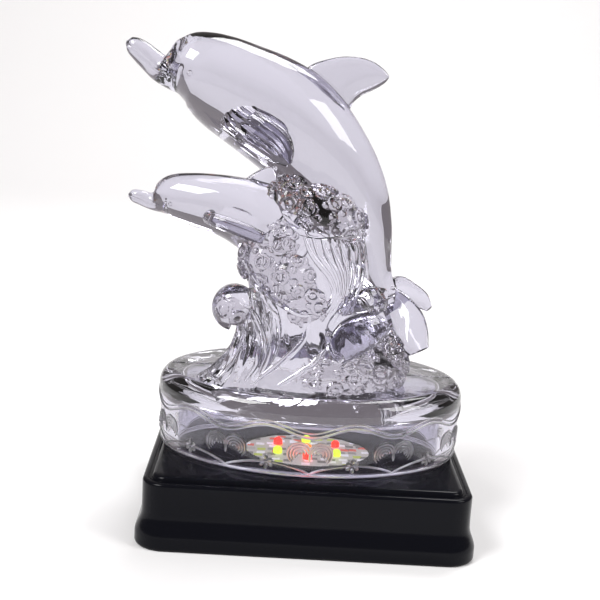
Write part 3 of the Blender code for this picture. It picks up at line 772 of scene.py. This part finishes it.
def rounded_rectangle(inset, height, steps=14):
    """A ring of the base's plan, moved in from the foot's outline, in mm."""
    radius = max(CORNER_RADIUS - inset, EDGE_ROUND)
    half_x = BASE_WIDTH / 2 - inset - radius
    half_y = BASE_DEPTH / 2 - inset - radius
    points = []
    for corner, (sign_x, sign_y) in enumerate([(1, 1), (-1, 1), (-1, -1), (1, -1)]):
        for step in range(steps + 1):
            angle = math.pi / 2 * (corner + step / steps)
            points.append(Vector((sign_x * half_x + radius * math.cos(angle),
                                  sign_y * half_y + radius * math.sin(angle), height)) * MM)
    return points


def base_shell():
    """The moulded base: a rolled foot, an S-shaped flare, and a rim with a double step."""
    rim = BASE_HEIGHT - RIM_STEP
    top_inset = FOOT_FLARE + EDGE_ROUND
    key_rows = [
        (EDGE_ROUND, 0.0), (EDGE_ROUND * 0.3, EDGE_ROUND * 0.3), (0.0, EDGE_ROUND),
        (0.0, FOOT_HEIGHT * 0.55), (FOOT_FLARE * 0.15, FOOT_HEIGHT * 0.75),
        (FOOT_FLARE * 0.5, FOOT_HEIGHT), (FOOT_FLARE * 0.85, FOOT_HEIGHT * 1.25),
        (FOOT_FLARE, FOOT_HEIGHT * 1.5), (FOOT_FLARE, rim - EDGE_ROUND),
    ]
    rows = [tuple(row) for row in smooth_rows(key_rows, 40, key=2)]
    for step in range(1, 7):
        angle = math.pi / 2 * step / 6
        rows.append((FOOT_FLARE + EDGE_ROUND * (1 - math.cos(angle)),
                     rim - EDGE_ROUND * (1 - math.sin(angle))))
    rows += [(top_inset + RIM_WIDTH * 0.35, rim), (top_inset + RIM_WIDTH * 0.42, rim - RIM_GROOVE),
             (top_inset + RIM_WIDTH * 0.58, rim - RIM_GROOVE), (top_inset + RIM_WIDTH * 0.65, rim),
             (top_inset + RIM_WIDTH, rim)]
    for step in range(1, 6):
        angle = math.pi / 2 * step / 5
        rows.append((top_inset + RIM_WIDTH + RIM_STEP * (1 - math.cos(angle)),
                     rim + RIM_STEP * math.sin(angle)))
    outline = [rounded_rectangle(max(inset, 0.0), height) for inset, height in rows]
    shell = new_object("base_shell", loft(outline))
    inside = FOOT_FLARE + SHELL_WALL
    subtract(shell, new_object("recess", loft([rounded_rectangle(inside, -3.0),
                                               rounded_rectangle(inside, COVER_RECESS)])))
    well = [oval_ring(WELL_DIAMETER, WELL_DIAMETER, height, 96)
            for height in (BASE_HEIGHT - WELL_DEPTH, BASE_HEIGHT + CUT_PAST)]
    subtract(shell, new_object("well", loft(well)))
    shell.data.shade_smooth()
    shell.data.set_sharp_from_angle(angle=SHELL_CREASE)
    return shell


def linear(hex_colour):
    """An sRGB hex colour as linear values."""
    values = [int(hex_colour[i:i + 2], 16) / 255 for i in (1, 3, 5)]
    return tuple(v / 12.92 if v <= 0.04045 else ((v + 0.055) / 1.055) ** 2.4 for v in values) + (1.0,)


def add_node(material, kind, settings=None, inputs=None, links=None):
    """A node with its settings, socket values and incoming links."""
    node = material.node_tree.nodes.new(kind)
    for name, value in (settings or {}).items():
        setattr(node, name, value)
    for name, value in (inputs or {}).items():
        node.inputs[name].default_value = value
    for name, socket in (links or {}).items():
        material.node_tree.links.new(socket, node.inputs[name])
    return node


def principled(name, values):
    """A new material, its shader and its surface coordinates in metres."""
    material = bpy.data.materials.new(name)
    material.use_nodes = True
    shader = material.node_tree.nodes["Principled BSDF"]
    for socket, value in values.items():
        shader.inputs[socket].default_value = value
    place = add_node(material, "ShaderNodeTexCoord").outputs["Object"]
    return material, shader, place


def noise_bump(material, shader, place, per_metre, detail, strength, distance):
    """Fine waviness of a surface as bump."""
    noise = add_node(material, "ShaderNodeTexNoise", inputs={"Scale": per_metre, "Detail": detail},
                     links={"Vector": place})
    bump = add_node(material, "ShaderNodeBump", inputs={"Strength": strength, "Distance": distance},
                    links={"Height": noise.outputs["Fac"]})
    material.node_tree.links.new(bump.outputs["Normal"], shader.inputs["Normal"])
    return noise


def clear_acrylic(name, colour, roughness):
    """Cast acrylic: it bends light like glass of index 1.49, with a faint lavender tint.

    Where it is polished the eye sees through it. The foam's copy is softer and tinted greyer:
    painted shade. Where the mould left it matt it is rough and tinted paler: painted light.
    """
    material, shader, place = principled(name, {
        "Base Color": linear(colour), "Roughness": roughness, "IOR": 1.49, "Transmission Weight": 1.0,
        "Specular IOR Level": 0.15})
    # Slow waves about 9 mm apart that flame polishing leaves
    noise_bump(material, shader, place, 110.0, 1.0, 0.12, 0.0006)
    return material


def black_abs(name, roughness, marks):
    """Moulded ABS: nearly black, a little blue, its gloss uneven where the plastic flowed."""
    material, shader, place = principled(name, {
        "Base Color": linear("#0b0c12"), "Roughness": roughness, "IOR": 1.53, "Specular IOR Level": 0.1})
    # Sink and flow marks about 12 mm apart
    noise = noise_bump(material, shader, place, 80.0, 3.0, marks, 0.0004)
    gloss = add_node(material, "ShaderNodeMapRange",
                     inputs={"To Min": roughness * 0.75, "To Max": roughness * 1.35},
                     links={"Value": noise.outputs["Fac"]})
    material.node_tree.links.new(gloss.outputs["Result"], shader.inputs["Roughness"])
    return material


def lacquered_board_with_painted_glow():
    """Lacquered circuit board, pale grey beige, with small component pads. The whole board glows faintly
    in its own colours: painted light that stands in for the light falling on it.
    """
    # Painted light: a faint glow over the whole board, though the board is no lamp
    material, shader, place = principled("lacquered_board_painted_glow", {
        "Roughness": 0.42, "IOR": 1.5, "Emission Strength": 0.75})
    # Component pads about 4 mm apart
    pads = add_node(material, "ShaderNodeTexVoronoi", {"distance": "CHEBYCHEV"}, {"Scale": 250.0},
                    {"Vector": place})
    edge = add_node(material, "ShaderNodeMapRange", inputs={"From Min": 0.38, "From Max": 0.42},
                    links={"Value": pads.outputs["Distance"]})
    shade = add_node(material, "ShaderNodeValToRGB", links={"Fac": pads.outputs["Color"]})
    shade.color_ramp.interpolation = "CONSTANT"
    shade.color_ramp.elements[0].color = linear("#77746a")
    shade.color_ramp.elements[1].color = linear("#ffffff")
    shade.color_ramp.elements[1].position = 0.8
    for position, colour in ((0.3, "#f7f6ef"), (0.48, "#c3d34a"), (0.6, "#9a978c"), (0.7, "#e8664a")):
        shade.color_ramp.elements.new(position).color = linear(colour)
    mix = add_node(material, "ShaderNodeMix", {"data_type": "RGBA"})
    tree = material.node_tree
    tree.links.new(edge.outputs["Result"], mix.inputs[0])
    tree.links.new(shade.outputs["Color"], mix.inputs[6])
    mix.inputs[7].default_value = linear("#c9c5b6")
    tree.links.new(mix.outputs[2], shader.inputs["Base Color"])
    # Painted light: the board's own colours also set the colour of its glow
    tree.links.new(mix.outputs[2], shader.inputs["Emission Color"])
    return material


def lamp_lens(name, colour, glow):
    """A lit lamp lens of coloured epoxy: the whole dome glows in its own colour."""
    material, shader, place = principled(name, {
        "Base Color": linear(colour), "Roughness": 0.25, "IOR": 1.5,
        "Emission Color": linear(colour), "Emission Strength": glow})
    # Moulding grain about 1 mm apart
    noise_bump(material, shader, place, 1000.0, 2.0, 0.1, 0.0001)
    return material


def paint(obj, material):
    """Give an object one material."""
    if obj.material_slots:
        for slot in obj.material_slots:
            slot.material = material
    else:
        obj.data.materials.append(material)


def finish_piece(obj, node):
    """A piece rides on the part and stands for its CAD node, which is hidden."""
    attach(obj, "root")
    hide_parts(node)


# The polished tint is the acrylic's own; the foam's darker tint is painted shade and the matt ornament's
# paler tint is painted light
casting = crystal_casting(clear_acrylic("polished_cast_acrylic", "#cbc9d6", 0.012),
                          clear_acrylic("bubbled_acrylic_painted_shade", "#a9a5b2", 0.1),
                          clear_acrylic("matt_acrylic_painted_light", "#f4f3f8", 0.42))
finish_piece(casting, "crystal_dolphins")
shell = base_shell()
paint(shell, black_abs("glossy_moulded_abs", 0.16, 0.15))
finish_piece(shell, "black_base")
nodes = frame["nodes"]
paint(nodes["base_cover"], black_abs("satin_moulded_abs", 0.5, 0.3))
paint(nodes["lamp_board"], lacquered_board_with_painted_glow())
LENSES = {
    "red": lamp_lens("red_lamp_lens", "#ff2410", 3.0),
    "green": lamp_lens("green_lamp_lens", "#c4e62a", 2.2),
    "amber": lamp_lens("amber_lamp_lens", "#ff7a1e", 2.6),
}
for name, node in nodes.items():
    if "_lamp" in name:
        paint(node, LENSES[name.split("_")[0]])


# The sweep, in metres: its half width, front edge, where it starts to rise, its rise's
# radius and the height of its upper edge
SWEEP_HALF_WIDTH, SWEEP_FRONT, SWEEP_BACK, SWEEP_ROUND, SWEEP_TOP = 0.56, -2.2, 0.9, 0.5, 0.52
# Each softbox: place in metres, side in metres, watts
SOFTBOXES = {
    "key_softbox": ((-0.9, -0.7, 1.3), 0.7, 22.0),
    "fill_softbox": ((1.1, -0.5, 0.9), 0.6, 9.0),
    "back_softbox": ((0.35, 0.75, 1.35), 0.7, 12.0),
}
LIGHT_TARGET = Vector((0, 0, 0.09))
# The photo's camera: place in mm, pitch, yaw and roll in radians, lens for a 36 mm frame
CAMERA_PLACE = (-14.47, -457.17, 181.09)
PITCH, YAW, ROLL = 0.20949, 0.0178, 0.06192
LENS = 72


def sweep():
    """A pale floor that curves up into the background."""
    profile = [(SWEEP_FRONT, 0.0), (SWEEP_BACK, 0.0)]
    for step in range(1, 13):
        angle = math.pi / 2 * step / 12
        profile.append((SWEEP_BACK + SWEEP_ROUND * math.sin(angle), SWEEP_ROUND * (1 - math.cos(angle))))
    profile.append((SWEEP_BACK + SWEEP_ROUND, SWEEP_TOP))
    builder = bmesh.new()
    left = [builder.verts.new((-SWEEP_HALF_WIDTH, y, z)) for y, z in profile]
    right = [builder.verts.new((SWEEP_HALF_WIDTH, y, z)) for y, z in profile]
    for i in range(len(profile) - 1):
        builder.faces.new((left[i], right[i], right[i + 1], left[i + 1]))
    floor = new_object("floor", builder)
    material, shader, place = principled("matt_white_sweep", {
        "Base Color": linear("#f4f4f4"), "Roughness": 0.8})
    # Paper grain, drawn as coarse as 2.5 mm so that it shows
    noise_bump(material, shader, place, 400.0, 2.0, 0.05, 0.0005)
    paint(floor, material)


def surround():
    """A warm grey room round the sweep: the clear casting shows it as bands along its edges."""
    world = bpy.context.scene.world or bpy.data.worlds.new("surround")
    bpy.context.scene.world = world
    world.use_nodes = True
    background = world.node_tree.nodes["Background"]
    background.inputs["Color"].default_value = linear("#aaa3a3")
    background.inputs["Strength"].default_value = 0.7


def softbox(name, place, size, power):
    """A square soft light that faces the statue."""
    light = bpy.data.lights.new(name, "AREA")
    light.size = size
    light.energy = power
    obj = bpy.data.objects.new(name, light)
    obj.location = place
    obj.rotation_euler = (LIGHT_TARGET - Vector(place)).to_track_quat("-Z", "Y").to_euler()
    bpy.context.scene.collection.objects.link(obj)


def camera():
    """The photo's view: 0.46 m in front, looking 12 degrees down, turned 3.5 degrees in its plane."""
    forward = Vector((math.sin(YAW) * math.cos(PITCH), math.cos(YAW) * math.cos(PITCH),
                      -math.sin(PITCH)))
    right = Vector((math.cos(YAW), -math.sin(YAW), 0))
    up = right.cross(forward)
    turned_right = right * math.cos(ROLL) + up * math.sin(ROLL)
    turned_up = up * math.cos(ROLL) - right * math.sin(ROLL)
    data = bpy.data.cameras.new("camera")
    data.sensor_width = 36
    data.lens = LENS
    data.clip_start = 0.01
    obj = bpy.data.objects.new("camera", data)
    matrix = Matrix((turned_right, turned_up, -forward)).transposed().to_4x4()
    matrix.translation = Vector(CAMERA_PLACE) * MM
    obj.matrix_world = matrix
    bpy.context.scene.collection.objects.link(obj)
    bpy.context.scene.camera = obj


sweep()
surround()
for name, (place, size, power) in SOFTBOXES.items():
    softbox(name, place, size, power)
camera()
# Light crosses many clear surfaces before it leaves the casting
cycles = bpy.context.scene.cycles
cycles.max_bounces = 24
cycles.transmission_bounces = 24
cycles.transparent_max_bounces = 24
bpy.context.scene.view_settings.view_transform = "Standard"
bpy.context.scene.view_settings.look = "None"
